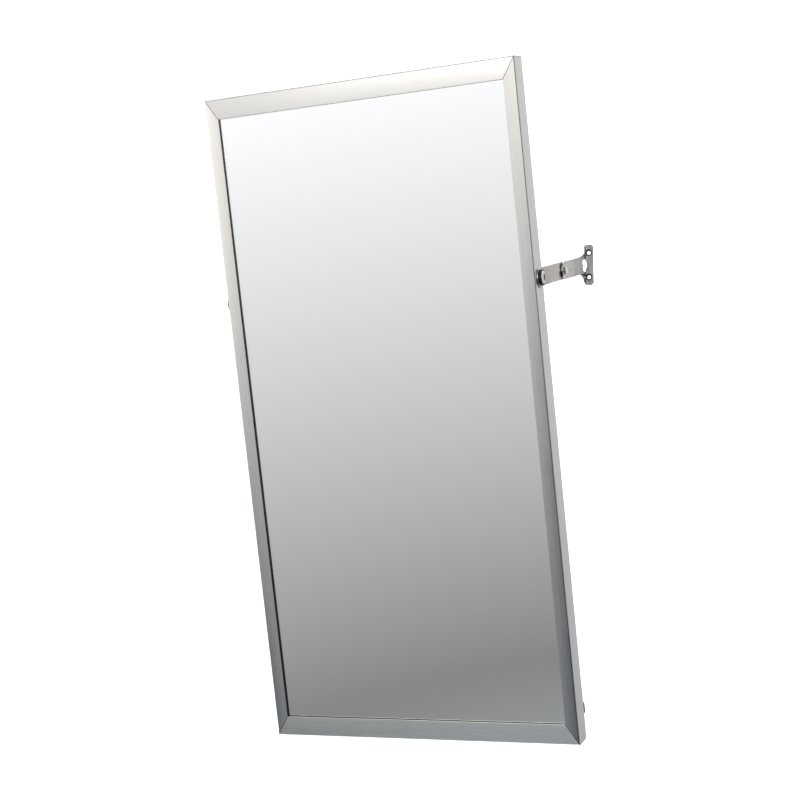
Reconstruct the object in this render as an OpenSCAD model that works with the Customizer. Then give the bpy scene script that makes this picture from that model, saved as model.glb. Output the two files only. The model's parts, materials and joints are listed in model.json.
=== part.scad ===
// Framed wall mirror that tilts on two jointed side arms.
//
// Frame of the model: +X to the right of someone who looks into the mirror,
// +Y into the wall, +Z up. The wall is the plane Y = 0, and the origin lies
// midway between the two wall plates, level with the middle of each plate.
// Everything inside the frame is drawn upright in panel axes (x right, y from
// the front face to the back, z up, zero at the middle of the front face) and
// is then hung on the pivots and tilted as one. The hardware is drawn for the
// right side and mirrored for the left.

/* [Panel] */
// Overall width of the framed mirror
panel_w = 457; // [300:1:900]
// Overall height of the framed mirror
panel_h = 914; // [600:1:1500]
// Front to back depth of the frame
panel_d = 32; // [30:0.5:45]
// Lean of the mirror at rest, its top towards the room
tilt = 15; // [0:0.5:15]

/* [Frame] */
// Thickness of the folded stainless sheet
sheet_t = 1.2; // [0.8:0.1:1.6]
// Face width of the two upright stiles
stile_face = 18; // [15:0.5:30]
// Face width of the top and bottom rails
rail_face = 28; // [18:0.5:45]
// Width of the turned-in back flange on the stiles
stile_back = 13; // [11:0.5:15]
// Outer radius of the folded edges
fold_r = 2; // [1.7:0.1:3]
// Open line left along each mitre
mitre_gap = 0.2; // [0.1:0.05:0.4]

/* [Glass and backing] */
// Thickness of the silvered glass
glass_t = 6; // [4:0.5:6.5]
// Distance from the frame's outer side to the edge of the glass
glass_margin = 4.5; // [4.2:0.1:6]
// Arris ground on the edges of the glass
arris = 0.6; // [0.3:0.1:1]
// Thickness of the hardboard behind the glass
board_t = 5; // [3:0.5:6]
// Thickness of the galvanised back pan
pan_t = 0.8; // [0.6:0.1:1.2]
// Distance from the frame's outer side to the rim of the back pan
pan_margin = 6.6; // [6.6:0.1:8]
// Easy fit left between pieces that lie inside the frame
slip = 0.1; // [0.05:0.05:0.25]

/* [Corner keys] */
// Length of each leg of a corner key
key_leg = 46; // [42:1:60]
// Thickness of a corner key
key_t = 2.5; // [2:0.1:2.8]
// Depth of a corner key, front to back
key_w = 17; // [14:0.5:19]
// First corner screw, from the frame's outer side
key_screw_first = 16; // [14:0.5:18]
// Distance between the two screws of a corner
key_screw_pitch = 18; // [14:0.5:20]
// Thread diameter of the corner screws
key_screw_d = 4; // [3:0.5:4]
// Head diameter of the countersunk corner screws
key_screw_head_d = 7.4; // [6:0.2:8]

/* [Pan screws] */
// Thread diameter of the screws that hold the back pan
pan_screw_d = 4; // [3:0.5:4.5]
// Head diameter of the pan screws
pan_screw_head_d = 6.6; // [6:0.2:7]
// Head height of the pan screws
pan_screw_head_h = 2; // [1.6:0.1:2.6]
// Length of the pan screws under the head
pan_screw_l = 6; // [4:0.5:9]
// Distance from the frame's outer side to the pan screws
pan_screw_in = 9.7; // [9.7:0.1:10.2]
// Height of the outer pan screws above and below the middle of a stile
pan_screw_z = 300; // [150:1:300]
// Distance of the pan screws from the middle of a rail
pan_screw_x = 120; // [60:1:120]

/* [Pivots] */
// Height of the pivots below the top of the frame
pivot_from_top = 286.5; // [150:0.5:400]
// Depth of the pivots behind the front face
pivot_depth = 18; // [16:0.5:18.5]
// Diameter of the pivot screw's plain shank
pivot_d = 8; // [6:0.5:9]
// Diameter of the pivot screw's domed head
pivot_head_d = 17.5; // [14:0.5:19]
// Height of the pivot screw's domed head
pivot_head_h = 1.8; // [1.5:0.1:4]
// Diameter of the black friction washer
pivot_washer_d = 21; // [18:0.5:24]
// Thickness of the black friction washer under the screw head
pivot_washer_t = 3; // [2.4:0.1:5]
// Thickness of the nut plate inside the stile
nut_t = 2.6; // [2:0.1:2.8]
// Height of the nut plate
nut_h = 50; // [30:1:80]
// Depth of the nut plate, front to back
nut_w = 16; // [14:0.5:16]

/* [Arms] */
// Height of the flat strip that the arms are made of
arm_h = 24; // [19:0.5:25]
// Thickness of the arms and the wall plates
arm_t = 2; // [1.5:0.1:3]
// Pivot to elbow length of the front link
link_len = 88.5; // [60:0.5:140]
// Distance from the wall to the elbow
elbow_reach = 97; // [85:1:150]
// Rise of the arms towards the wall
arm_slope = 16; // [0:0.5:20]
// Height of the arms' middle line above the middle of the wall plates
arm_lift = 1.6; // [0:0.1:3]
// Diameter of the eye that the front link turns on
eye_d = 27; // [26:0.5:30]
// Length over which the lower edge of the front link runs down to its eye
neck_l = 34; // [30:0.5:45]
// Length of the link's tail behind the elbow
link_tail = 30; // [12:1:34]
// Start of the sideways step in the front link, behind its pivot
link_step_from = 15; // [12:0.5:24]
// Length of that step
link_step_l = 7; // [5:0.5:12]
// How far the step carries the link outwards
link_step = 3; // [1:0.1:3.5]
// Diameter of the elbow rivet
rivet_d = 6; // [5:0.5:7]
// Diameter of the elbow rivet's domed outer head
rivet_head_d = 11; // [9:0.5:14]
// Height of the elbow rivet's outer head
rivet_head_h = 1.8; // [1.4:0.1:2.6]
// Diameter of the rivet's upset inner head
rivet_upset_d = 9; // [8:0.5:12]
// Height of the rivet's upset inner head
rivet_upset_h = 1.2; // [0.8:0.1:1.6]
// Diameter of the friction washer in the elbow
elbow_washer_d = 18; // [13:0.5:18]
// Thickness of the friction washer in the elbow
elbow_washer_t = 0.8; // [0.5:0.1:1.5]
// Distance of the pressed pip behind the elbow
pip_back = 28; // [20:0.5:32]
// Diameter of the pressed pip
pip_d = 6; // [4:0.5:7]
// Height of the pressed pip
pip_h = 0.8; // [0.4:0.1:1]
// Sideways step pressed into the wall bracket's arm
joggle = 0.8; // [0.4:0.1:1.2]
// Distance of that step from the wall
joggle_from_wall = 50; // [44:0.5:55]
// Length of that step along the arm
joggle_l = 4; // [2:0.5:8]
// Length over which the arm widens into its wall plate
flare_l = 34; // [24:1:40]
// Height above the plate's middle where the arm's top edge meets the plate
flare_top = 17; // [16:0.5:22]
// Depth below the plate's middle where its lower edge does
flare_low = 25; // [18:0.5:25]

/* [Wall plates] */
// Width of a wall plate
plate_w = 13; // [12:0.5:20]
// Height of a wall plate
plate_h = 58; // [54:0.5:70]
// Corner radius of a wall plate
plate_r = 4; // [2:0.5:5]
// Distance between the two wall screw holes of a plate
hole_pitch = 35; // [34:0.5:38]
// Diameter of the wall screw holes
hole_d = 5.2; // [4:0.2:6]
// Diameter of the countersinks round the wall screw holes
hole_sink_d = 10; // [8:0.2:10.4]
// Depth of those countersinks
hole_sink_h = 1.6; // [0.8:0.1:1.8]
// Inside radius of the bend between arm and plate
bend_r = 2; // [1.5:0.5:3]
// Height of the opening punched through the bend
relief_h = 17; // [10:0.5:18]
// Length of that opening along the arm, from the wall
relief_l = 15; // [12:0.5:24]

/* [Bumpers] */
// Width of the rubber bumpers
bumper_w = 11; // [8:0.2:12.6]
// Length of the bumpers along the stile
bumper_l = 16; // [12:0.5:24]
// How far the bumpers stand off the back of the frame
bumper_h = 8; // [6:0.5:14]
// Radius on the standing corners of the bumpers
bumper_r = 2.5; // [1:0.1:3.5]
// Bevel round the free face of the bumpers
bumper_bevel = 1.2; // [0.5:0.1:2]
// Height of the middle of the bumpers above the bottom of the frame
bumper_up = 40; // [30:1:100]

/* [Hidden] */
$fn = 48;
arc_n = 6;
curve_n = 10;
over = 1;
// Radial clearance of the pins that turn, and the gap beside a part that turns
run = 0.05;
side_run = 0.1;
// Clearance round screws that only pass through a hole
pass = 0.15;

// The back flange of a rail is as much wider as its face, so both meet on the mitre
rail_back = stile_back * rail_face / stile_face;
// Depths of the layers, measured from the front face of the frame
glass_y = sheet_t + slip;
board_y = glass_y + glass_t + slip;
pan_y = board_y + board_t + slip;
pan_back_y = panel_d - sheet_t - slip;
// Corner keys stop short of the rear fold, whose inside is rounded
key_y = panel_d - fold_r - slip - key_w;
inner_fold_r = fold_r - sheet_t;

// Outlines that run off a round one start this far inside it
lap = 0.1;
// The top edge of a front link runs off the top of its eye, so its middle line
// passes this far above the pivot
eye_drop = (eye_d - arm_h) / 2 - lap;
// Pivot, in panel axes and in the frame of the model
pivot_up = panel_h / 2 - pivot_from_top;
elbow_z = arm_lift - elbow_reach * tan(arm_slope);
pivot_y = -elbow_reach - link_len * cos(arm_slope) + eye_drop * sin(arm_slope);
pivot_z = elbow_z - link_len * sin(arm_slope) - eye_drop * cos(arm_slope);

// Stack beside the frame, from the frame's side outwards
side_x = panel_w / 2;
eye_x = side_x + side_run;
eye_out_x = eye_x + arm_t;
washer_x = eye_out_x + side_run;
seat_x = washer_x + pivot_washer_t;
link_x = eye_x + link_step;
link_out_x = link_x + arm_t;
rear_x = link_out_x + side_run + elbow_washer_t;
rear_out_x = rear_x + arm_t;
bend_x = rear_x - joggle;
bend_outer_r = bend_r + arm_t;
hole_x = bend_x + plate_w / 2;
screw_tip_x = side_x - glass_margin - over;
joggle_y = -joggle_from_wall;

steel = [0.74, 0.75, 0.76];
steel_dark = [0.62, 0.63, 0.64];

// ---------- points and small shapes ----------

// Points on an arc from angle a0 to a1 about [cx, cy]
function arc(cx, cy, r, a0, a1, n = arc_n) =
    [for (i = [0:n]) let (a = a0 + (a1 - a0) * i / n) [cx + r * cos(a), cy + r * sin(a)]];

// Points on a curve that leaves p0 towards p1 and arrives at p2 from p1
function bend_curve(p0, p1, p2, n = curve_n) =
    [for (i = [0:n]) let (t = i / n) p0 * (1 - t) * (1 - t) + p1 * 2 * t * (1 - t) + p2 * t * t];

// Height of the arm's centre line where it stands y from the wall
function axis_z(y) = arm_lift + y * tan(arm_slope);

// An outline drawn in (y, z), given a thickness along X from x0
module slab_x(x0, t) {
    translate([x0, 0, 0]) rotate([90, 0, 90]) linear_extrude(t) children();
}

// An outline drawn in (x, z), given a thickness along Y from y0
module slab_y(y0, t) {
    translate([0, y0 + t, 0]) rotate([90, 0, 0]) linear_extrude(t) children();
}

// A rectangle about the origin with rounded corners
module rounded_square(w, h, r) {
    square([w - 2 * r, h], center = true);
    square([w, h - 2 * r], center = true);
    for (x = [-1, 1], y = [-1, 1])
        translate([x * (w / 2 - r), y * (h / 2 - r)]) circle(r = r);
}

// A round rod along X from x0 to x1
module rod_x(x0, x1, d) {
    translate([x0, 0, 0]) rotate([0, 90, 0]) cylinder(d = d, h = x1 - x0);
}

// A domed head whose flat seat is at x = 0 and whose crown points along +X
module domed_head(d, h, rim) {
    crown_r = ((d / 2) * (d / 2) + (h - rim) * (h - rim)) / (2 * (h - rim));
    half_angle = asin(d / 2 / crown_r);
    crown = [for (i = [0:arc_n]) let (a = half_angle * (1 - i / arc_n))
        [i == arc_n ? 0 : crown_r * sin(a), h - crown_r * (1 - cos(a))]];
    rotate([0, 90, 0]) rotate_extrude() polygon(concat([[0, 0], [d / 2, 0]], crown));
}

// A cross recess cut from +X into a head whose crown is at x = 0
module cross_recess(d, depth) {
    wing = d / 5;
    for (turn = [0, 90])
        rotate([turn, 0, 0])
            translate([-depth, -d / 2, -wing / 2]) cube([depth + over, d, wing]);
}

// Puts what is drawn in panel axes onto the pivots, leaning by the tilt
module hang_panel() {
    translate([0, pivot_y, pivot_z]) rotate([tilt, 0, 0])
        translate([0, -pivot_depth, -pivot_up]) children();
}

// Draws the right-hand hardware, or its mirror image
module on_side(right) {
    mirror([right ? 0 : 1, 0, 0]) children();
}

// ---------- folded frame ----------

// Section of the folded channel: u runs inwards from the outer side, y to the back
function channel_section(face, back) =
    let (r = fold_r, q = fold_r - sheet_t, t = sheet_t, d = panel_d)
    concat(
        [[face, 0]],
        [for (p = arc(r, r, r, 270, 180)) p],
        [for (p = arc(r, d - r, r, 180, 90)) p],
        [[back, d], [back, d - t]],
        [for (p = arc(r, d - r, q, 90, 180)) p],
        [for (p = arc(r, r, q, 180, 270)) p],
        [[face, t]]
    );

// Left stile before its holes, mitred at both ends
module stile_blank() {
    intersection() {
        translate([-panel_w / 2, 0, 0])
            linear_extrude(panel_h, center = true)
                polygon(channel_section(stile_face, stile_back));
        slab_y(-over, panel_d + 2 * over)
            polygon([
                [-panel_w / 2, panel_h / 2 - mitre_gap],
                [-panel_w / 2 + stile_face, panel_h / 2 - rail_face - mitre_gap],
                [-panel_w / 2 + stile_face, -panel_h / 2 + rail_face + mitre_gap],
                [-panel_w / 2, -panel_h / 2 + mitre_gap]
            ]);
    }
}

// Top rail before its holes, mitred at both ends
module rail_blank() {
    intersection() {
        translate([0, 0, panel_h / 2]) rotate([0, 90, 0])
            linear_extrude(panel_w, center = true)
                polygon(channel_section(rail_face, rail_back));
        slab_y(-over, panel_d + 2 * over)
            polygon([
                [-panel_w / 2, panel_h / 2],
                [panel_w / 2, panel_h / 2],
                [panel_w / 2 - stile_face, panel_h / 2 - rail_face],
                [-panel_w / 2 + stile_face, panel_h / 2 - rail_face]
            ]);
    }
}

// Places a screw, or the hole for one, at each pan screw of the left stile
module at_stile_pan_screws() {
    for (z = [-pan_screw_z, 0, pan_screw_z])
        translate([-panel_w / 2 + pan_screw_in, panel_d, z]) rotate([90, 0, 0]) children();
}

// The same for the top rail
module at_rail_pan_screws() {
    for (x = [-pan_screw_x, pan_screw_x])
        translate([x, panel_d, panel_h / 2 - pan_screw_in]) rotate([90, 0, 0]) children();
}

// Places a screw, or the hole for one, at the two screws of the top left corner
module at_corner_screws() {
    for (i = [0, 1])
        translate([
            -panel_w / 2 + key_screw_first + i * key_screw_pitch,
            key_y + key_w / 2,
            panel_h / 2
        ]) rotate([180, 0, 0]) children();
}

// Body of a countersunk screw whose head's top is at z = 0, pointing along +Z
module countersunk(d, head_d, length) {
    cylinder(d1 = head_d, d2 = d, h = (head_d - d) / 2);
    cylinder(d = d, h = length);
}

// Left stile with the holes for its pan screws and its pivot
module stile() {
    difference() {
        stile_blank();
        at_stile_pan_screws()
            translate([0, 0, -over]) cylinder(d = pan_screw_d + 2 * pass, h = sheet_t + 2 * over);
        translate([-panel_w / 2, pivot_depth, pivot_up])
            rod_x(-over, sheet_t + over, pivot_d + 2 * pass);
    }
}

// Top rail with the holes for its pan screws and corner screws
module rail() {
    difference() {
        rail_blank();
        at_rail_pan_screws()
            translate([0, 0, -over]) cylinder(d = pan_screw_d + 2 * pass, h = sheet_t + 2 * over);
        for (side = [0, 1])
            mirror([side, 0, 0]) at_corner_screws()
                countersunk(key_screw_d + 2 * pass, key_screw_head_d + 2 * pass, 2 * sheet_t);
    }
}

module frame_left_stile() {
    color(steel) hang_panel() stile();
}

module frame_right_stile() {
    color(steel) hang_panel() mirror([1, 0, 0]) stile();
}

module frame_top_rail() {
    color(steel) hang_panel() rail();
}

module frame_bottom_rail() {
    color(steel) hang_panel() mirror([0, 0, 1]) rail();
}

// ---------- corner keys ----------

// Angle inside the top left corner, tapped for the rail's two screws
module corner_key() {
    x0 = -panel_w / 2 + sheet_t;
    z0 = panel_h / 2 - sheet_t;
    difference() {
        slab_y(key_y, key_w)
            polygon([
                [x0 + slip, z0 - slip],
                [x0 + key_leg, z0 - slip],
                [x0 + key_leg, z0 - slip - key_t],
                [x0 + slip + key_t, z0 - slip - key_t],
                [x0 + slip + key_t, z0 - key_leg],
                [x0 + slip, z0 - key_leg]
            ]);
        at_corner_screws()
            countersunk(
                key_screw_d + 2 * run, key_screw_head_d + 2 * run, sheet_t + slip + key_t + over);
    }
}

// Two countersunk screws in each of the four corners
module corner_screws() {
    color(steel_dark) hang_panel()
        for (flip_x = [0, 1], flip_z = [0, 1])
            mirror([flip_x, 0, 0]) mirror([0, 0, flip_z]) at_corner_screws()
                countersunk(key_screw_d, key_screw_head_d, sheet_t + slip + key_t);
}

module corner_key_top_left() {
    color(steel_dark) hang_panel() corner_key();
}

module corner_key_top_right() {
    color(steel_dark) hang_panel() mirror([1, 0, 0]) corner_key();
}

module corner_key_bottom_left() {
    color(steel_dark) hang_panel() mirror([0, 0, 1]) corner_key();
}

module corner_key_bottom_right() {
    color(steel_dark) hang_panel() mirror([1, 0, 0]) mirror([0, 0, 1]) corner_key();
}

// ---------- glass, strips, board and pan ----------

// A plate in the panel's plane whose edges are all ground off by the arris
module arrised_plate(w, h, y0, t) {
    intersection() {
        linear_extrude(h, center = true)
            polygon([
                [-w / 2, y0 + arris], [-w / 2 + arris, y0], [w / 2 - arris, y0],
                [w / 2, y0 + arris], [w / 2, y0 + t - arris], [w / 2 - arris, y0 + t],
                [-w / 2 + arris, y0 + t], [-w / 2, y0 + t - arris]
            ]);
        slab_x(-w / 2, w)
            polygon([
                [y0 + arris, -h / 2], [y0 + t - arris, -h / 2], [y0 + t, -h / 2 + arris],
                [y0 + t, h / 2 - arris], [y0 + t - arris, h / 2], [y0 + arris, h / 2],
                [y0, h / 2 - arris], [y0, -h / 2 + arris]
            ]);
    }
}

module mirror_glass() {
    color([0.82, 0.86, 0.88]) hang_panel()
        arrised_plate(panel_w - 2 * glass_margin, panel_h - 2 * glass_margin, glass_y, glass_t);
}

// Strip between the top edge of the glass and the top rail, eased to clear the fold
module strip_along(length, half) {
    out = half - sheet_t - slip;
    in = half - glass_margin + slip;
    slab_x(-length / 2, length)
        polygon([
            [glass_y, in], [glass_y, out - inner_fold_r], [glass_y + inner_fold_r, out],
            [glass_y + glass_t, out], [glass_y + glass_t, in]
        ]);
}

module edge_strip_top() {
    color([0.16, 0.16, 0.17]) hang_panel()
        strip_along(panel_w - 2 * (fold_r + slip), panel_h / 2);
}

module edge_strip_bottom() {
    color([0.16, 0.16, 0.17]) hang_panel() mirror([0, 0, 1])
        strip_along(panel_w - 2 * (fold_r + slip), panel_h / 2);
}

module edge_strip_left() {
    color([0.16, 0.16, 0.17]) hang_panel() rotate([0, -90, 0])
        strip_along(panel_h - 2 * glass_margin, panel_w / 2);
}

module edge_strip_right() {
    color([0.16, 0.16, 0.17]) hang_panel() rotate([0, 90, 0])
        strip_along(panel_h - 2 * glass_margin, panel_w / 2);
}

module backing_board() {
    w = panel_w - 2 * glass_margin;
    h = panel_h - 2 * glass_margin;
    color([0.55, 0.42, 0.3]) hang_panel() translate([-w / 2, board_y, -h / 2]) cube([w, board_t, h]);
}

// Shallow pan whose rims stand forward and press the board and the glass to the frame
module back_pan() {
    w = panel_w - 2 * pan_margin;
    h = panel_h - 2 * pan_margin;
    deep = pan_back_y - pan_y;
    color([0.7, 0.72, 0.73]) hang_panel()
        difference() {
            translate([-w / 2, pan_y, -h / 2]) cube([w, deep, h]);
            translate([-w / 2 + pan_t, pan_y - over, -h / 2 + pan_t])
                cube([w - 2 * pan_t, deep + over - pan_t, h - 2 * pan_t]);
            for (side = [0, 1]) {
                mirror([side, 0, 0]) at_stile_pan_screws() pan_hole();
                mirror([0, 0, side]) at_rail_pan_screws() pan_hole();
            }
        }
}

// Hole that a pan screw cuts through the floor of the pan
module pan_hole() {
    translate([0, 0, -over]) cylinder(d = pan_screw_d + 2 * run, h = sheet_t + pan_t + 3 * over);
}

// Pan head screw that points along +Z from a seat at z = 0
module pan_screw() {
    cylinder(d = pan_screw_d, h = pan_screw_l);
    difference() {
        rotate([0, 90, 0]) domed_head(pan_screw_head_d, pan_screw_head_h, pan_screw_head_h / 3);
        translate([0, 0, -pan_screw_head_h]) rotate([0, 90, 0])
            cross_recess(pan_screw_head_d / 2, pan_screw_head_h / 2);
    }
}

module pan_screws() {
    color(steel_dark) hang_panel()
        for (side = [0, 1]) {
            mirror([side, 0, 0]) at_stile_pan_screws() pan_screw();
            mirror([0, 0, side]) at_rail_pan_screws() pan_screw();
        }
}

// ---------- pivots ----------

// Tapped plate welded inside the right stile, where the pivot screw bites
module pivot_nut() {
    out = side_x - sheet_t;
    difference() {
        translate([out - nut_t, pivot_depth - nut_w / 2, pivot_up - nut_h / 2])
            cube([nut_t, nut_w, nut_h]);
        translate([0, pivot_depth, pivot_up])
            rod_x(out - nut_t - over, out + over, pivot_d + 2 * run);
    }
}

module pivot_nut_right() {
    color(steel_dark) hang_panel() pivot_nut();
}

module pivot_nut_left() {
    color(steel_dark) hang_panel() mirror([1, 0, 0]) pivot_nut();
}

// Black friction washer between the eye of the front link and the screw head
module pivot_washer() {
    difference() {
        rod_x(washer_x, seat_x, pivot_washer_d);
        rod_x(washer_x - over, seat_x + over, pivot_d + 2 * run);
    }
}

// Domed screw that the mirror turns on, with a cross recess
module pivot_screw() {
    rod_x(screw_tip_x, seat_x + pivot_head_h / 2, pivot_d);
    translate([seat_x, 0, 0])
        difference() {
            domed_head(pivot_head_d, pivot_head_h, pivot_head_h / 4);
            translate([pivot_head_h, 0, 0]) cross_recess(pivot_head_d / 2, pivot_head_h / 2);
        }
}

// Puts what is drawn about the X axis onto the pivot line, square to the mirror
module at_pivot() {
    translate([0, pivot_y, pivot_z]) rotate([tilt, 0, 0]) children();
}

module pivot_washer_right() {
    color([0.1, 0.1, 0.1]) at_pivot() pivot_washer();
}

module pivot_washer_left() {
    color([0.1, 0.1, 0.1]) on_side(false) at_pivot() pivot_washer();
}

module pivot_screw_right() {
    color(steel) at_pivot() pivot_screw();
}

module pivot_screw_left() {
    color(steel) on_side(false) at_pivot() pivot_screw();
}

// ---------- front links ----------

// Line of the front link seen from above, in (x, y): eye, step outwards and flat
module link_plan() {
    step_end = link_step_from + link_step_l;
    reach = link_len + link_tail + over;
    polygon([
        [eye_x, -eye_d], [eye_x, link_step_from], [link_x, step_end], [link_x, reach],
        [link_out_x, reach], [link_out_x, step_end], [eye_out_x, link_step_from], [eye_out_x, -eye_d]
    ]);
}

// Side outline of the front link, in (y, z) from the pivot: eye, neck, strip, round tail
module link_side() {
    tail_end = link_len + link_tail - arm_h / 2;
    low = eye_drop - arm_h / 2;
    // The lower edge leaves the eye at this angle below its middle, as a tangent to it
    turn = 75;
    reach = eye_d / 2 - lap;
    leave = [reach * cos(turn), -reach * sin(turn)];
    knee = [leave[0] + (low - leave[1]) * tan(turn), low];
    circle(d = eye_d);
    polygon(concat([[0, 0]], bend_curve(leave, knee, [neck_l, low]), [[neck_l, eye_drop]]));
    translate([0, low]) square([tail_end, arm_h]);
    translate([tail_end, eye_drop]) circle(d = arm_h);
}

// Strip from the pivot to the elbow and a little past it, stepped clear of the pivot's washer
module front_link() {
    translate([0, pivot_y, pivot_z]) rotate([arm_slope, 0, 0])
        difference() {
            intersection() {
                translate([0, 0, -eye_d]) linear_extrude(2 * eye_d) link_plan();
                slab_x(eye_x - over, link_out_x - eye_x + 2 * over) link_side();
            }
            rod_x(eye_x - over, link_out_x + over, pivot_d + 2 * run);
            translate([0, link_len, eye_drop])
                rod_x(link_x - over, link_out_x + over, rivet_d + 2 * run);
        }
}

module front_link_right() {
    color(steel) front_link();
}

module front_link_left() {
    color(steel) on_side(false) front_link();
}

// ---------- elbows ----------

// Puts what is drawn about the X axis onto the elbow line
module at_elbow() {
    translate([0, -elbow_reach, elbow_z]) children();
}

module elbow_washer() {
    at_elbow()
        difference() {
            rod_x(link_out_x + side_run, rear_x, elbow_washer_d);
            rod_x(link_out_x, rear_x + over, rivet_d + 2 * run);
        }
}

// Rivet with a domed head outside the bracket and an upset head inside the link
module elbow_rivet() {
    at_elbow() {
        rod_x(link_x - side_run - rivet_upset_h / 2, rear_out_x + rivet_head_h / 2, rivet_d);
        translate([rear_out_x, 0, 0]) domed_head(rivet_head_d, rivet_head_h, rivet_head_h / 4);
        translate([link_x - side_run, 0, 0]) mirror([1, 0, 0])
            domed_head(rivet_upset_d, rivet_upset_h, rivet_upset_h / 3);
    }
}

module elbow_washer_right() {
    color([0.2, 0.2, 0.2]) elbow_washer();
}

module elbow_washer_left() {
    color([0.2, 0.2, 0.2]) on_side(false) elbow_washer();
}

module elbow_rivet_right() {
    color(steel) elbow_rivet();
}

module elbow_rivet_left() {
    color(steel) on_side(false) elbow_rivet();
}

// ---------- wall brackets ----------

// Folded line of the bracket seen from above: arm, joggle, bend and plate, in (x, y)
module bracket_plan() {
    tip_y = -elbow_reach - arm_h;
    plate_x = bend_x + plate_w;
    outer = arc(bend_x + bend_outer_r, -bend_outer_r, bend_outer_r, 180, 90);
    inner = arc(bend_x + bend_outer_r, -bend_outer_r, bend_r, 90, 180);
    polygon(concat(
        [[rear_x, tip_y], [rear_x, joggle_y - joggle_l], [bend_x, joggle_y]],
        outer,
        [[plate_x, 0], [plate_x, -arm_t]],
        inner,
        [[bend_x + arm_t, joggle_y], [rear_out_x, joggle_y - joggle_l], [rear_out_x, tip_y]]
    ));
}

// Side outline of the bracket's arm, from the round elbow end to its flare, in (y, z)
module bracket_side() {
    rise = arm_h / 2 / cos(arm_slope);
    near_y = -flare_l;
    end_y = -bend_outer_r;
    // The curve turns at a fifth of the way back along the flare
    knee_y = end_y - (flare_l - bend_outer_r) / 5;
    top = bend_curve(
        [near_y, axis_z(near_y) + rise], [knee_y, axis_z(knee_y) + rise], [end_y, flare_top]);
    bottom = bend_curve(
        [end_y, -flare_low], [knee_y, axis_z(knee_y) - rise], [near_y, axis_z(near_y) - rise]);
    elbow_y = -elbow_reach;
    union() {
        translate([elbow_y, elbow_z]) circle(d = arm_h);
        polygon(concat(
            [[elbow_y + arm_h / 2 * sin(arm_slope), elbow_z - arm_h / 2 * cos(arm_slope)],
             [elbow_y - arm_h / 2 * sin(arm_slope), elbow_z + arm_h / 2 * cos(arm_slope)]],
            top,
            [[over, flare_top], [over, -flare_low]],
            bottom
        ));
    }
}

// Front outline of the wall plate, in (x, z)
module plate_outline() {
    translate([bend_x + plate_w / 2, 0]) rounded_square(plate_w, plate_h, plate_r);
}

// Opening punched through the bend, so that two legs join the arm to its plate
module relief_cut() {
    corner = relief_h / 4;
    rotate([arm_slope, 0, 0]) {
        translate([bend_x - over, -relief_l + corner, -relief_h / 2])
            cube([arm_t + over + side_run, relief_l - corner + over, relief_h]);
        translate([bend_x - over, -relief_l, -relief_h / 2 + corner])
            cube([arm_t + over + side_run, relief_l, relief_h - 2 * corner]);
        for (z = [-1, 1])
            translate([0, -relief_l + corner, z * (relief_h / 2 - corner)])
                rod_x(bend_x - over, bend_x + arm_t + side_run, 2 * corner);
    }
    // Round bite as far as the end of the bend
    translate([bend_x + bend_outer_r - relief_h / 2, over, 0])
        rotate([90, 0, 0]) cylinder(d = relief_h, h = bend_outer_r + 2 * over);
}

// Countersunk hole for a wall screw, drawn at the origin and opening towards -Y
module wall_hole() {
    rotate([90, 0, 0]) translate([0, 0, -over]) cylinder(d = hole_d, h = arm_t + 2 * over);
    translate([0, -arm_t + hole_sink_h, 0]) rotate([90, 0, 0])
        cylinder(d1 = hole_d, d2 = hole_sink_d, h = hole_sink_h);
    translate([0, -arm_t, 0]) rotate([90, 0, 0]) cylinder(d = hole_sink_d, h = over);
}

// Outer arm and wall plate, stamped from one strip and bent outwards
module wall_bracket() {
    pip_pos = [0, -elbow_reach + pip_back * cos(arm_slope), elbow_z + pip_back * sin(arm_slope)];
    // The pip is sunk a little into the arm, so that the two are one solid
    sunk = arm_t / 4;
    difference() {
        union() {
            intersection() {
                translate([0, 0, -plate_h]) linear_extrude(2 * plate_h) bracket_plan();
                union() {
                    slab_x(bend_x - over, arm_t + joggle + 2 * over) bracket_side();
                    slab_y(-arm_t - over, arm_t + 2 * over) plate_outline();
                }
            }
            translate(pip_pos) translate([rear_out_x - sunk, 0, 0])
                domed_head(pip_d, pip_h + sunk, sunk + pip_h / 8);
        }
        relief_cut();
        for (z = [-1, 1])
            translate([hole_x, 0, z * hole_pitch / 2]) wall_hole();
        at_elbow() rod_x(rear_x - over, rear_out_x + over, rivet_d + 2 * run);
        translate(pip_pos) rod_x(rear_x - over, rear_x + pip_h, pip_d / 2);
    }
}

module wall_bracket_right() {
    color(steel) wall_bracket();
}

module wall_bracket_left() {
    color(steel) on_side(false) wall_bracket();
}

// ---------- bumpers ----------

// Section of a bumper: square at its foot, bevelled round its free face
module bumper_section(w) {
    polygon([
        [-w / 2, 0], [w / 2, 0], [w / 2, bumper_h - bumper_bevel],
        [w / 2 - bumper_bevel, bumper_h], [-w / 2 + bumper_bevel, bumper_h],
        [-w / 2, bumper_h - bumper_bevel]
    ]);
}

// Rubber bumper stuck to the back flange of the left stile, near its foot
module bumper() {
    translate([-panel_w / 2 + stile_back / 2, panel_d, -panel_h / 2 + bumper_up])
        rotate([-90, 0, 0])
            intersection() {
                linear_extrude(bumper_h) rounded_square(bumper_w, bumper_l, bumper_r);
                rotate([90, 0, 0])
                    linear_extrude(bumper_l, center = true) bumper_section(bumper_w);
                rotate([90, 0, 90])
                    linear_extrude(bumper_w, center = true) bumper_section(bumper_l);
            }
}

module bumper_left() {
    color([0.08, 0.08, 0.08]) hang_panel() bumper();
}

module bumper_right() {
    color([0.08, 0.08, 0.08]) hang_panel() mirror([1, 0, 0]) bumper();
}

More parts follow.
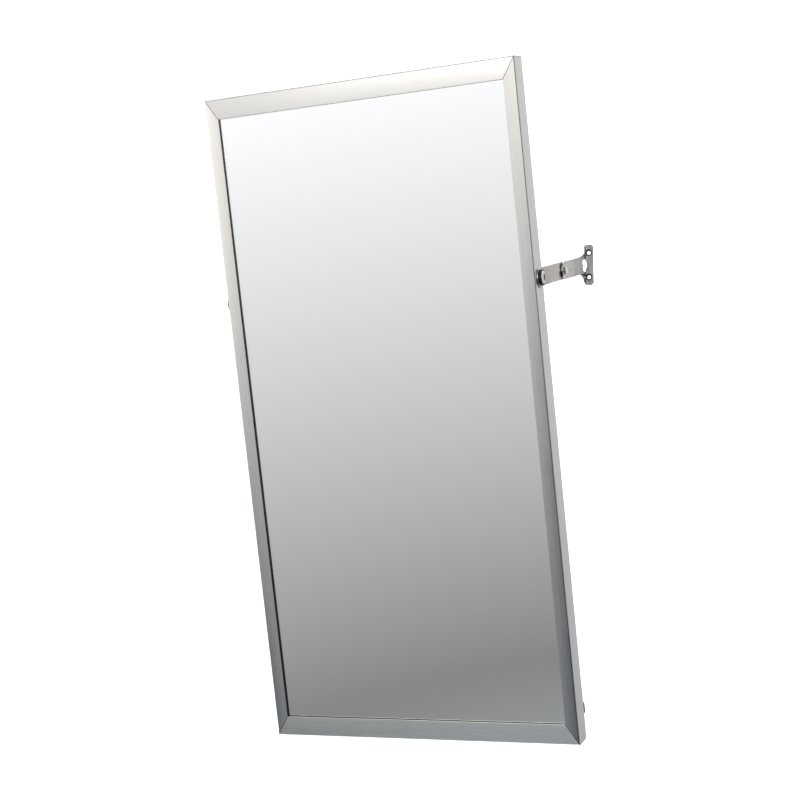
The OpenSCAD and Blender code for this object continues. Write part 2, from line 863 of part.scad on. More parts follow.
frame_top_rail();
frame_bottom_rail();
frame_left_stile();
frame_right_stile();
corner_key_top_left();
corner_key_top_right();
corner_key_bottom_left();
corner_key_bottom_right();
corner_screws();
mirror_glass();
edge_strip_top();
edge_strip_bottom();
edge_strip_left();
edge_strip_right();
backing_board();
back_pan();
pan_screws();
pivot_nut_left();
pivot_nut_right();
pivot_washer_left();
pivot_washer_right();
pivot_screw_left();
pivot_screw_right();
front_link_left();
front_link_right();
elbow_washer_left();
elbow_washer_right();
elbow_rivet_left();
elbow_rivet_right();
wall_bracket_left();
wall_bracket_right();
bumper_left();
bumper_right();
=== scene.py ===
"""Looks of the tilting wall mirror: satin folded frame, silvered glass, jointed side arms and a stage.

Metres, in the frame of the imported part: +X right, +Y into the wall, +Z up, the wall at Y = 0.
"""
import json
import math

import bmesh
import bpy
import numpy as np
from mathutils import Euler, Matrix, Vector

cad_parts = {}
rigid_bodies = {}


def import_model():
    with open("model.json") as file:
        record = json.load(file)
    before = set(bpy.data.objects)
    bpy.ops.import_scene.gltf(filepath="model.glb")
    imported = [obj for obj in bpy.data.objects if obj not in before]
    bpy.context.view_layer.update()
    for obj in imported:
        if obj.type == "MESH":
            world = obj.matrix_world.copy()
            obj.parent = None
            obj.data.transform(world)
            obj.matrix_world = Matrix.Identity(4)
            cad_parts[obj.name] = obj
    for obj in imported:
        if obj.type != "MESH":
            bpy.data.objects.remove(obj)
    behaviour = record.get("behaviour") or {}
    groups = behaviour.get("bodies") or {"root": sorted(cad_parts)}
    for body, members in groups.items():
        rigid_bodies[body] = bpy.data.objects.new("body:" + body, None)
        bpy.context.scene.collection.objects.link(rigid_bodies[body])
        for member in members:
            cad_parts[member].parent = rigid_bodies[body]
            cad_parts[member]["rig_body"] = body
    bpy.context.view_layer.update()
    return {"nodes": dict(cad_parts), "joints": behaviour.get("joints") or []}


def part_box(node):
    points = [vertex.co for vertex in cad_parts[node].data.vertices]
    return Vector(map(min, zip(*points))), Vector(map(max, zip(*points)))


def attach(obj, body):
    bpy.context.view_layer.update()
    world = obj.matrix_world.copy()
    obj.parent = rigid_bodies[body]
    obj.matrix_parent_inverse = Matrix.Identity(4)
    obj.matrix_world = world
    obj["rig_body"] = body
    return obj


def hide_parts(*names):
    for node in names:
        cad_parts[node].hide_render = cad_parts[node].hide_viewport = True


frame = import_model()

bl_info = {
    "name": "Tilting wall mirror",
    "version": (1, 0, 0),
    "blender": (4, 5, 0),
    "location": "View3D > Sidebar > Mirror",
    "description": "Builds the looks of a framed wall mirror on jointed side arms, and its stage",
    "category": "Object",
}

NODES = frame["nodes"]
JOINTS = {joint["name"]: joint for joint in frame["joints"]}
# Centres of the right-hand pivot and elbow, both on lines along X
PIVOT = np.array(JOINTS["mirror_tilt"]["pos_m"], float)
ELBOW = np.array(JOINTS["arm_fold"]["pos_m"], float)
# Lean of the panel, and slope of the strips, as in the part's source
LEAN = math.radians(15)
ARM_SLOPE = math.radians(16)
# Up along the panel
UPWARD = (0, -math.sin(LEAN), math.cos(LEAN))
SIDES = {"right": 1.0, "left": -1.0}
# Radii of the shanks of pivot screw and elbow rivet, and a washer's play round them, as in the source
SHANK = {"pivot": 0.004, "elbow": 0.003}
RUNNING_FIT = 0.00005


def linear(hex_colour):
    """sRGB hex to linear RGBA: each channel by the two-part curve of the sRGB standard."""
    channel = np.array([int(hex_colour[i:i + 2], 16) for i in (1, 3, 5)]) / 255
    curve = np.where(channel <= 0.04045, channel / 12.92, ((channel + 0.055) / 1.055) ** 2.4)
    return (*curve.tolist(), 1.0)


def length(name, description, default):
    """A size that a user may change, in metres."""
    return bpy.props.FloatProperty(
        name=name, description=description, default=default, min=0.0, precision=5,
        unit="LENGTH", subtype="DISTANCE")


def colour(name, description, hex_colour):
    """A colour that a user may change, given as sRGB hex and kept linear."""
    return bpy.props.FloatVectorProperty(
        name=name, description=description, default=linear(hex_colour), size=4,
        min=0.0, max=1.0, subtype="COLOR")


class MirrorSizes(bpy.types.PropertyGroup):
    """Real sizes of edges, reliefs and surface marks."""
    sheet_ease: length("Sheet edge", "Radius left on the cut edges of the folded sheet", 0.0003)
    strip_ease: length("Strip edge", "Radius tumbled onto the stamped strip", 0.0004)
    # The mitre line is painted shadow of the gaps, with the dirt they hold
    mitre_line: length("Mitre line", "Half the width of the shadow and residue along the mitres", 0.0006)
    grain_width: length("Grain width", "Width of one satin scratch, drawn wider than life", 0.0007)
    grain_length: length("Grain length", "Length of one satin scratch", 0.07)
    glass_arris: length("Glass arris", "Width of the ground edge of the glass", 0.0006)
    silver_depth: length("Silver depth", "Clear glass in front of the silver; the rest is its backing", 0.004)
    washer_round: length("Washer edge", "Radius on the moulded edges of the washers", 0.0004)
    recess_depth: length("Recess depth", "Depth of the cross recess in the pivot screws", 0.0015)
    recess_wing: length("Recess wing", "Width of a wing of the cross recess", 0.0038)
    dish: length("Bumper dish", "Hollow pressed into the free face of the bumpers", 0.0005)
    spangle: length("Spangle", "Width of one zinc crystal on the back pan", 0.011)
    floor_drop: length("Floor", "Distance from the wall plates down to the floor", 1.02)


class MirrorColours(bpy.types.PropertyGroup):
    """Base colours of the finishes."""
    frame_steel: colour("Frame steel", "Satin stainless sheet", "#D6D7D6")
    arm_steel: colour("Arm steel", "Tumbled stainless strip", "#BFBCB8")
    bolt_steel: colour("Fastener steel", "Cold headed stainless", "#DADBDC")
    zinc: colour("Zinc", "Bright zinc plating", "#B9BDC1")
    galvanised: colour("Galvanised", "Hot dipped zinc", "#B4B9BC")
    silver: colour("Silver", "Silver film behind the glass", "#F5F5F5")
    glass: colour("Glass", "Clear float glass", "#FCFDFC")
    backing: colour("Glass backing", "Grey vinyl behind the silver", "#5B5F63")
    rubber: colour("Rubber", "Black rubber", "#101012")
    nylon: colour("Nylon", "Black nylon", "#0E0E10")
    hardboard: colour("Hardboard", "Pressed brown fibre", "#7A5B3C")
    backdrop: colour("Backdrop", "Matte studio paper", "#F4F4F3")


# ---------- materials ----------
# A function for a surface gets the object's own coordinates as place and returns the shader's inputs

def add_node(tree, kind, sockets=None, stops=(), **settings):
    """Adds a shader node.

    sockets are its inputs, linked where an output is given. stops are the (place, grey or colour) stops of
    a colour ramp, and settings its own values."""
    made = tree.nodes.new(kind)
    for key, value in settings.items():
        setattr(made, key, value)
    for key, value in (sockets or {}).items():
        if isinstance(value, bpy.types.NodeSocket):
            tree.links.new(value, made.inputs[key])
        else:
            made.inputs[key].default_value = value
    if stops:
        band = made.color_ramp
        while len(band.elements) < len(stops):
            band.elements.new(0.5)
        for element, (place, value) in zip(band.elements, stops):
            element.position = place
            element.color = (value, value, value, 1.0) if isinstance(value, float) else tuple(value)
    return made


def darker(base, share):
    """A share of a base colour's light, opaque."""
    return tuple(c * share for c in base[:3]) + (1.0,)


def new_material(name, surface, *values, **choices):
    """Makes a material whose shader has the inputs that surface returns.

    surface is called with the node tree, the object's own coordinates, and these values and choices."""
    material = bpy.data.materials.new(name)
    material.use_nodes = True
    tree = material.node_tree
    tree.nodes.clear()
    place = add_node(tree, "ShaderNodeTexCoord").outputs["Object"]
    sockets = surface(tree, place, *values, **choices)
    shader = add_node(tree, "ShaderNodeBsdfPrincipled", sockets).outputs[0]
    add_node(tree, "ShaderNodeOutputMaterial", {"Surface": shader})
    return material


def mitre_shade(tree, place, corner, middle, face, half):
    """Painted shadow of the mitre gaps, with the dirt they hold, along the four mitres: 1 on their lines and
    0 from half a width off.

    x counts from the middle of the panel and z from middle, both without sign and along the leaning
    panel. The mitre runs from the outer corner inwards by the face widths (stile, rail) of the frame. The
    distance to it is the dot product of the way from the corner with the line's normal."""
    across = np.array([face[1], -face[0]]) / math.hypot(*face)
    x = add_node(tree, "ShaderNodeSeparateXYZ", {"Vector": place}).outputs["X"]
    z = add_node(tree, "ShaderNodeVectorMath",
                 {0: place, 1: UPWARD}, operation="DOT_PRODUCT").outputs["Value"]
    z = add_node(tree, "ShaderNodeMath", {0: z, 1: middle}, operation="SUBTRACT").outputs[0]
    x = add_node(tree, "ShaderNodeMath", {0: x}, operation="ABSOLUTE").outputs[0]
    z = add_node(tree, "ShaderNodeMath", {0: z}, operation="ABSOLUTE").outputs[0]
    part = add_node(tree, "ShaderNodeMath",
                    {0: z, 1: across[1], 2: -float(across @ corner)}, operation="MULTIPLY_ADD").outputs[0]
    off = add_node(tree, "ShaderNodeMath",
                   {0: x, 1: across[0], 2: part}, operation="MULTIPLY_ADD").outputs[0]
    off = add_node(tree, "ShaderNodeMath", {0: off}, operation="ABSOLUTE").outputs[0]
    return add_node(tree, "ShaderNodeMapRange",
                    {"Value": off, "From Min": half, "From Max": half / 3},
                    interpolation_type="SMOOTHSTEP").outputs[0]


def brushed_stainless(tree, place, base, grain, turn, scratched, mitre):
    """Stainless sheet, belt ground along its length and left satin.

    The fine parallel scratches smear what it reflects across their own direction and leave a soft,
    slightly streaked sheen. grain is the scratch size (x, y, z) in metres, turn the lean of the piece about
    X, scratched the direction of the scratches, and mitre the sizes of the painted shadow and dirt along
    the mitres."""
    along = add_node(tree, "ShaderNodeMapping",
                     {"Vector": place, "Rotation": (turn, 0, 0), "Scale": grain},
                     vector_type="TEXTURE").outputs[0]
    scratch = add_node(tree, "ShaderNodeTexNoise",
                       {"Vector": along, "Scale": 1.0, "Detail": 3.0, "Roughness": 0.6}).outputs["Fac"]
    # Slow cloudiness a hand's breadth wide, from the belt's varying pressure and from wiping
    cloud = add_node(tree, "ShaderNodeTexNoise",
                     {"Vector": place, "Scale": 9.0, "Detail": 2.0, "Roughness": 0.5}).outputs["Fac"]
    mixed = add_node(tree, "ShaderNodeMath",
                     {0: cloud, 1: 0.35, 2: scratch}, operation="MULTIPLY_ADD").outputs[0]
    roughness = add_node(tree, "ShaderNodeMapRange",
                         {"Value": mixed, "From Min": 0.35, "From Max": 1.0,
                          "To Min": 0.24, "To Max": 0.36}).outputs[0]
    tint = add_node(tree, "ShaderNodeValToRGB", {"Fac": scratch},
                    ((0.3, darker(base, 0.93)), (0.7, base))).outputs["Color"]
    # Darker grey along the mitres: painted shadow of the gaps, with the dirt they hold
    tint = add_node(tree, "ShaderNodeMix",
                    {0: mitre_shade(tree, place, *mitre), 6: tint, 7: linear("#55575A")},
                    data_type="RGBA").outputs[2]
    run = add_node(tree, "ShaderNodeVectorTransform", {"Vector": scratched},
                   vector_type="VECTOR", convert_from="OBJECT", convert_to="WORLD").outputs[0]
    facing = add_node(tree, "ShaderNodeNewGeometry").outputs["Normal"]
    # Over the scratches and in the surface, so that folds and side faces smear the right way too
    tangent = add_node(tree, "ShaderNodeVectorMath",
                       {0: facing, 1: run}, operation="CROSS_PRODUCT").outputs[0]
    relief = add_node(tree, "ShaderNodeBump",
                      {"Strength": 0.12, "Distance": 0.00002, "Height": scratch}).outputs[0]
    return {"Base Color": tint, "Metallic": 1.0, "Roughness": roughness, "Anisotropic": 0.55,
            "Tangent": tangent, "Normal": relief}


def tumbled_stainless(tree, place, base, turn):
    """Stainless strip, stamped and then tumbled with stones.

    Tumbling rounds the edges and covers the rolled surface with tiny random nicks, so it gleams softly in
    every direction, with a trace of the rolling grain along the strip."""
    along = add_node(tree, "ShaderNodeMapping",
                     {"Vector": place, "Rotation": (turn, 0, 0), "Scale": (0.0005, 0.012, 0.0006)},
                     vector_type="TEXTURE").outputs[0]
    rolled = add_node(tree, "ShaderNodeTexNoise",
                      {"Vector": along, "Scale": 1.0, "Detail": 2.0}).outputs["Fac"]
    # Stone nicks about 0.4 mm across
    nicks = add_node(tree, "ShaderNodeTexNoise",
                     {"Vector": place, "Scale": 2500.0, "Detail": 2.0, "Roughness": 0.55}).outputs["Fac"]
    both = add_node(tree, "ShaderNodeMath",
                    {0: nicks, 1: 0.6, 2: rolled}, operation="MULTIPLY_ADD").outputs[0]
    roughness = add_node(tree, "ShaderNodeMapRange",
                         {"Value": both, "From Min": 0.5, "From Max": 1.1,
                          "To Min": 0.2, "To Max": 0.34}).outputs[0]
    tint = add_node(tree, "ShaderNodeValToRGB", {"Fac": both},
                    ((0.55, darker(base, 0.92)), (0.95, base))).outputs["Color"]
    relief = add_node(tree, "ShaderNodeBump",
                      {"Strength": 0.15, "Distance": 0.00003, "Height": both}).outputs[0]
    return {"Base Color": tint, "Metallic": 1.0, "Roughness": roughness, "Normal": relief}


def cut_edge_and_shade(tree, place, base):
    """Cut edge of the stamping: torn and rough, since tumbling hardly reaches it, and near black: its own
    darker cut under painted shade.
    """
    # Tears a little over half a millimetre apart
    torn = add_node(tree, "ShaderNodeTexNoise",
                    {"Vector": place, "Scale": 1800.0, "Detail": 3.0, "Roughness": 0.6}).outputs["Fac"]
    # Near black to dark grey: the cut's own darker tone, deepened by painted shade
    tint = add_node(tree, "ShaderNodeValToRGB", {"Fac": torn},
                    ((0.35, darker(base, 0.12)), (0.75, darker(base, 0.4)))).outputs["Color"]
    roughness = add_node(tree, "ShaderNodeMapRange",
                         {"Value": torn, "To Min": 0.6, "To Max": 0.4}).outputs[0]
    relief = add_node(tree, "ShaderNodeBump",
                      {"Strength": 0.4, "Distance": 0.00005, "Height": torn}).outputs[0]
    return {"Base Color": tint, "Metallic": 1.0, "Roughness": roughness, "Normal": relief}


def headed_stainless(tree, place, base, soiled=False):
    """Stainless wire, cold headed and passivated: nearly bright, with a faint orange peel from the die.

    One that is shaded and soiled is darkened wherever the piece's attribute says: painted shade in the cross
    recess, with dark heading oil."""
    # Orange peel 0.7 mm across
    peel = add_node(tree, "ShaderNodeTexNoise",
                    {"Vector": place, "Scale": 1400.0, "Detail": 1.5}).outputs["Fac"]
    roughness = add_node(tree, "ShaderNodeMapRange",
                         {"Value": peel, "From Min": 0.3, "From Max": 0.7,
                          "To Min": 0.14, "To Max": 0.26}).outputs[0]
    relief = add_node(tree, "ShaderNodeBump",
                      {"Strength": 0.2, "Distance": 0.00003, "Height": peel}).outputs[0]
    tint = add_node(tree, "ShaderNodeValToRGB", {"Fac": peel},
                    ((0.3, darker(base, 0.9)), (0.6, base))).outputs["Color"]
    if soiled:
        # Painted shade in the recess, with dark heading oil, by each point's share
        residue = add_node(tree, "ShaderNodeAttribute", attribute_name="residue").outputs["Fac"]
        tint = add_node(tree, "ShaderNodeMix",
                        {0: residue, 6: tint, 7: linear("#17181A")}, data_type="RGBA").outputs[2]
    return {"Base Color": tint, "Metallic": 1.0, "Roughness": roughness, "Normal": relief}


def plated_steel(tree, place, base):
    """Mild steel, electroplated with zinc: even bluish grey, a little cloudy where the bath ran off."""
    # Clouds 8 mm across
    cloud = add_node(tree, "ShaderNodeTexNoise",
                     {"Vector": place, "Scale": 120.0, "Detail": 4.0}).outputs["Fac"]
    tint = add_node(tree, "ShaderNodeValToRGB", {"Fac": cloud},
                    ((0.3, darker(base, 0.85)), (0.7, base))).outputs["Color"]
    roughness = add_node(tree, "ShaderNodeMapRange",
                         {"Value": cloud, "To Min": 0.3, "To Max": 0.48}).outputs[0]
    return {"Base Color": tint, "Metallic": 1.0, "Roughness": roughness}


def galvanised_sheet(tree, place, base, spangle, turn):
    """Steel sheet, hot dipped in zinc.

    The zinc froze in crystals of a centimetre or so, and each catches the light its own way."""
    upright = add_node(tree, "ShaderNodeMapping",
                       {"Vector": place, "Rotation": (turn, 0, 0),
                        "Scale": (spangle, spangle, spangle)}, vector_type="TEXTURE").outputs[0]
    wander = add_node(tree, "ShaderNodeTexNoise",
                      {"Vector": upright, "Scale": 1.6, "Detail": 2.0}).outputs["Color"]
    bent = add_node(tree, "ShaderNodeMix",
                    {"Factor": 0.3, 4: upright, 5: wander}, data_type="VECTOR").outputs[1]
    crystal = add_node(tree, "ShaderNodeTexVoronoi",
                       {"Vector": bent, "Scale": 1.0, "Randomness": 1.0}, feature="F1")
    grey = add_node(tree, "ShaderNodeSeparateColor", {"Color": crystal.outputs["Color"]}).outputs[0]
    tint = add_node(tree, "ShaderNodeValToRGB", {"Fac": grey},
                    ((0.0, darker(base, 0.8)), (1.0, base))).outputs["Color"]
    roughness = add_node(tree, "ShaderNodeMapRange",
                         {"Value": grey, "To Min": 0.32, "To Max": 0.52}).outputs[0]
    relief = add_node(tree, "ShaderNodeBump",
                      {"Strength": 0.08, "Distance": 0.0001,
                       "Height": crystal.outputs["Distance"]}).outputs[0]
    return {"Base Color": tint, "Metallic": 1.0, "Roughness": roughness, "Normal": relief}


def float_glass(tree, place, base):
    """Clear float glass, fire polished: reflects faintly at its face and lets the silver behind it show."""
    # A trace of wiping, far weaker than the eye notices straight on
    wipe = add_node(tree, "ShaderNodeTexNoise",
                    {"Vector": place, "Scale": 14.0, "Detail": 3.0}).outputs["Fac"]
    tint = add_node(tree, "ShaderNodeValToRGB", {"Fac": wipe},
                    ((0.2, darker(base, 0.995)), (0.8, base))).outputs["Color"]
    return {"Base Color": tint, "Roughness": 0.0, "IOR": 1.52, "Transmission Weight": 1.0}


def ground_edge(tree, place):
    """Edge of the glass, ground with a diamond wheel: frosted, and pale green from the glass behind it."""
    # Grit marks a third of a millimetre across
    grit = add_node(tree, "ShaderNodeTexNoise",
                    {"Vector": place, "Scale": 3000.0, "Detail": 2.0}).outputs["Fac"]
    tint = add_node(tree, "ShaderNodeValToRGB", {"Fac": grit},
                    ((0.3, linear("#7FA093")), (0.7, linear("#A9C4B9")))).outputs["Color"]
    relief = add_node(tree, "ShaderNodeBump",
                      {"Strength": 0.3, "Distance": 0.00005, "Height": grit}).outputs[0]
    return {"Base Color": tint, "Roughness": 0.5, "IOR": 1.52, "Normal": relief}


def silver_film(tree, place, base):
    """Chemically deposited silver on the back of the glass: a clean, almost white mirror."""
    film = add_node(tree, "ShaderNodeTexNoise",
                    {"Vector": place, "Scale": 6.0, "Detail": 1.0}).outputs["Fac"]
    tint = add_node(tree, "ShaderNodeValToRGB", {"Fac": film},
                    ((0.2, darker(base, 0.995)), (0.8, base))).outputs["Color"]
    return {"Base Color": tint, "Metallic": 1.0, "Roughness": 0.0}


def moulded(tree, place, base, rough, pebble, depth):
    """Nylon, rubber or vinyl from a spark eroded mould or roller: fine pebbles break up its highlights.

    pebble is the width of a pebble and depth its height, in metres."""
    grit = add_node(tree, "ShaderNodeTexNoise",
                    {"Vector": place, "Scale": 1 / pebble, "Detail": 3.0, "Roughness": 0.6}).outputs["Fac"]
    tint = add_node(tree, "ShaderNodeValToRGB", {"Fac": grit},
                    ((0.25, darker(base, 0.7)), (0.8, base))).outputs["Color"]
    roughness = add_node(tree, "ShaderNodeMapRange",
                         {"Value": grit, "To Min": rough - 0.08, "To Max": rough + 0.08}).outputs[0]
    relief = add_node(tree, "ShaderNodeBump",
                      {"Strength": 0.35, "Distance": depth, "Height": grit}).outputs[0]
    return {"Base Color": tint, "Roughness": roughness, "Normal": relief}


def pressed_hardboard(tree, place, base):
    """Hardboard: steamed wood fibre pressed flat, brown and faintly mottled with darker strands."""
    # Strands about a millimetre long
    strand = add_node(tree, "ShaderNodeTexNoise",
                      {"Vector": place, "Scale": 900.0, "Detail": 6.0, "Roughness": 0.7,
                       "Distortion": 1.2}).outputs["Fac"]
    tint = add_node(tree, "ShaderNodeValToRGB", {"Fac": strand},
                    ((0.35, darker(base, 0.6)), (0.65, base))).outputs["Color"]
    return {"Base Color": tint, "Roughness": 0.7}


def studio_paper(tree, place, base):
    """Matte paper sweep."""
    fibre = add_node(tree, "ShaderNodeTexNoise",
                     {"Vector": place, "Scale": 40.0, "Detail": 2.0}).outputs["Fac"]
    tint = add_node(tree, "ShaderNodeValToRGB", {"Fac": fibre},
                    ((0.3, darker(base, 0.99)), (0.7, base))).outputs["Color"]
    return {"Base Color": tint, "Roughness": 0.95}


# ---------- shapes ----------

def quads(rows, columns, wrap_rows=False):
    """Corners of a grid's faces.

    Each row is a closed ring of columns, and wrap_rows joins the last row to the first."""
    row = np.arange(rows if wrap_rows else rows - 1)[:, None]
    column = np.arange(columns)[None, :]
    above, beside = (row + 1) % rows, (column + 1) % columns
    corners = [row * columns + column, row * columns + beside,
               above * columns + beside, above * columns + column]
    return np.stack(np.broadcast_arrays(*corners), -1).reshape(-1, 4)


def put_mesh(name, points, faces, materials, body, replaced, smooth=True, which=None, soiled=None):
    """Makes a piece from arrays of points and faces, merges its poles, and turns its faces outwards.

    which gives each face's material, and the last argument each point's share of painted shade and dark
    heading oil, kept as an attribute."""
    mesh = bpy.data.meshes.new(name)
    mesh.from_pydata(points.tolist(), [], faces.tolist())
    for material in materials:
        mesh.materials.append(material)
    if which is not None:
        mesh.polygons.foreach_set("material_index", which)
    if soiled is not None:
        mesh.attributes.new("residue", "FLOAT", "POINT").data.foreach_set("value", soiled)
    work = bmesh.new()
    work.from_mesh(mesh)
    bmesh.ops.remove_doubles(work, verts=work.verts, dist=1e-7)
    bmesh.ops.recalc_face_normals(work, faces=work.faces)
    work.to_mesh(mesh)
    work.free()
    mesh.polygons.foreach_set("use_smooth", np.full(len(mesh.polygons), smooth))
    place_piece(bpy.data.objects.new(name, mesh), body, replaced)


def place_piece(piece, body, replaced):
    """Links a piece, lets it ride on its body, and hides the CAD nodes it stands for."""
    bpy.context.scene.collection.objects.link(piece)
    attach(piece, body)
    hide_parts(*replaced)
    return piece


def read(items, name):
    """A property of three numbers of all the mesh's vertices or faces, as rows."""
    values = np.empty(len(items) * 3)
    items.foreach_get(name, values)
    return values.reshape(-1, 3)


def eased_copy(node, name, materials, ease, steps=2, shaded_cut=None):
    """A merged copy of a CAD node whose sharp edges are rolled to the radius ease.

    sheared, if given, tells from the middles and normals of the faces which take the second material."""
    source = NODES[node].data
    corners = np.empty(len(source.loops), int)
    source.loops.foreach_get("vertex_index", corners)
    mesh = bpy.data.meshes.new(name)
    mesh.from_pydata(read(source.vertices, "co").tolist(), [], corners.reshape(-1, 3).tolist())
    for material in materials:
        mesh.materials.append(material)
    work = bmesh.new()
    work.from_mesh(mesh)
    bmesh.ops.remove_doubles(work, verts=work.verts, dist=2e-6)
    bmesh.ops.dissolve_limit(work, angle_limit=math.radians(0.5), verts=work.verts, edges=work.edges)
    # Edges that turn more than 32 degrees are sharp
    sharp = np.array([edge.calc_face_angle(0.0) > math.radians(32) for edge in work.edges])
    work.to_mesh(mesh)
    work.free()
    mesh.attributes.new("bevel_weight_edge", "FLOAT", "EDGE").data.foreach_set("value", sharp.astype(float))
    if shaded_cut:
        cut = shaded_cut(read(mesh.polygons, "center"), read(mesh.polygons, "normal"))
        mesh.polygons.foreach_set("material_index", cut.astype(np.int32))
    mesh.polygons.foreach_set("use_smooth", np.ones(len(mesh.polygons), bool))
    piece = place_piece(bpy.data.objects.new(name, mesh), NODES[node]["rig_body"], [node])
    bevel = piece.modifiers.new("eased edges", "BEVEL")
    bevel.width = ease
    bevel.segments = steps
    bevel.limit_method = "WEIGHT"
    bevel.harden_normals = True
    bevel.material = len(materials) - 1


def tilt(lean):
    """Matrix that leans rows of points about X."""
    c, s = math.cos(lean), math.sin(lean)
    return np.array([[1, 0, 0], [0, c, s], [0, -s, c]])


def leaning_box(node):
    """Lowest and highest corner of a node in axes that lean with the panel."""
    flat = read(NODES[node].data.vertices, "co") @ tilt(LEAN).T
    return flat.min(0), flat.max(0)


def rounded(points, radii, steps=6):
    """Rounds each corner of a line of points with an arc.

    The arc starts and ends radius / tan(half the corner) from the corner and is drawn as the quadratic curve
    through those two points whose handle is the corner itself."""
    points, line = np.asarray(points, float), []
    for before, corner, after, radius in zip(np.roll(points, 1, 0), points, np.roll(points, -1, 0), radii):
        if radius == 0:
            line.append(corner[None])
            continue
        to, fro = before - corner, after - corner
        to, fro = to / np.linalg.norm(to), fro / np.linalg.norm(fro)
        reach = radius / math.tan(math.acos(np.clip(to @ fro, -1, 1)) / 2)
        t = np.linspace(0, 1, steps)[:, None]
        start, end = corner + to * reach, corner + fro * reach
        line.append(start * (1 - t) ** 2 + corner * 2 * t * (1 - t) + end * t ** 2)
    return np.concatenate(line)


def turned(profile, turns, relief=None):
    """Surface of revolution about the X axis.

    A profile of (radius, along) points carried round a circle: x is along, y is radius times the cosine and
    z is radius times the sine of the angle. relief, if given, lowers x as a function of y and z."""
    angle = np.linspace(0, 2 * math.pi, turns, endpoint=False)[None, :]
    radius, along = profile[:, :1], np.broadcast_to(profile[:, 1:], (len(profile), turns))
    y, z = radius * np.cos(angle), radius * np.sin(angle)
    if relief is not None:
        along = along - relief(y, z)
    return np.stack([along, y, z], -1).reshape(-1, 3)


def about_x(points, lean, centre, side):
    """Leans points about X, moves them to a centre, and mirrors them for the left side."""
    return (points @ tilt(lean) + centre) * (side, 1, 1)


def padded_block(width, long, corner, profile, steps):
    """Rounded rectangle carried up a profile of (inset, height) points.

    The outline is the rectangle of the four corner centres, with a quarter circle about each. An inset takes
    its length off the circle's radius first, and past that draws the centres in to the middle. steps is
    the number of points on each quarter circle."""
    angle = (np.arange(4)[:, None] * 90 + np.linspace(0, 90, steps)[None, :]) * math.pi / 180
    sign_x, sign_y = np.array([1, -1, -1, 1])[:, None], np.array([1, 1, -1, -1])[:, None]
    inset, height = profile[:, 0, None, None], profile[:, 1, None, None]
    radius, past = np.maximum(corner - inset, 0), np.maximum(inset - corner, 0)
    x = sign_x * np.maximum(width / 2 - corner - past, 0) + radius * np.cos(angle)
    y = sign_y * np.maximum(long / 2 - corner - past, 0) + radius * np.sin(angle)
    return np.stack([x, y, np.broadcast_to(height, x.shape)], -1).reshape(-1, 3)


def dome(radius, height, rim, steps):
    """Profile of a domed head: a circular arc, height tall at the pole and rim tall at the edge."""
    rise = height - rim
    sphere = (radius ** 2 + rise ** 2) / (2 * rise)
    r = np.linspace(0, radius, steps)
    return np.stack([r, height - sphere + np.sqrt(sphere ** 2 - r ** 2)], -1)


def cross(depth, wing, reach):
    """Depth of a cross recess.

    Two wings at right angles. In each the depth falls smoothly to nothing at its sides and its end, and
    tapers to half from the middle to the end. The deeper wing counts."""
    def edge(t):
        t = np.clip(t, 0, 1)
        return t * t * (3 - 2 * t)

    def one(u, v):
        wall = edge((wing / 2 - np.abs(v)) / (wing * 0.2) + 0.5)
        end = edge((reach - np.abs(u)) / (wing * 0.4))
        return depth * (1 - 0.5 * np.clip(np.abs(u) / reach, 0, 1)) * wall * end

    return lambda y, z: np.maximum(one(y, z), one(z, y))


# ---------- pieces ----------

class MIRROR_OT_frame(bpy.types.Operator):
    """Dress the four folded frame members in satin stainless, with eased cut edges"""
    bl_idname = "mirror.frame"
    bl_label = "Folded frame"

    def execute(self, context):
        sizes, colours = context.scene.mirror_sizes, context.scene.mirror_colours
        width, long = sizes.grain_width, sizes.grain_length
        low, high = leaning_box("frame_right_stile")
        rail_low, rail_high = leaning_box("frame_top_rail")
        # Outer corner from the panel's middle, the middle's height, and the face widths of stile and rail
        corner = np.array([high[0], (high[2] - low[2]) / 2])
        face = (high[0] - low[0], rail_high[2] - rail_low[2])
        mitre = (corner, (high[2] + low[2]) / 2, face, sizes.mitre_line)
        rail = new_material("Satin stainless, ground along the rail", brushed_stainless,
                            colours.frame_steel, (long, width, width), LEAN, (1, 0, 0), mitre)
        stile = new_material("Satin stainless, ground along the stile", brushed_stainless,
                             colours.frame_steel, (width, width, long), LEAN, UPWARD, mitre)
        for node in ("frame_top_rail", "frame_bottom_rail", "frame_left_stile", "frame_right_stile"):
            steel = rail if "rail" in node else stile
            eased_copy(node, "satin_" + node, [steel], sizes.sheet_ease)
        return {"FINISHED"}


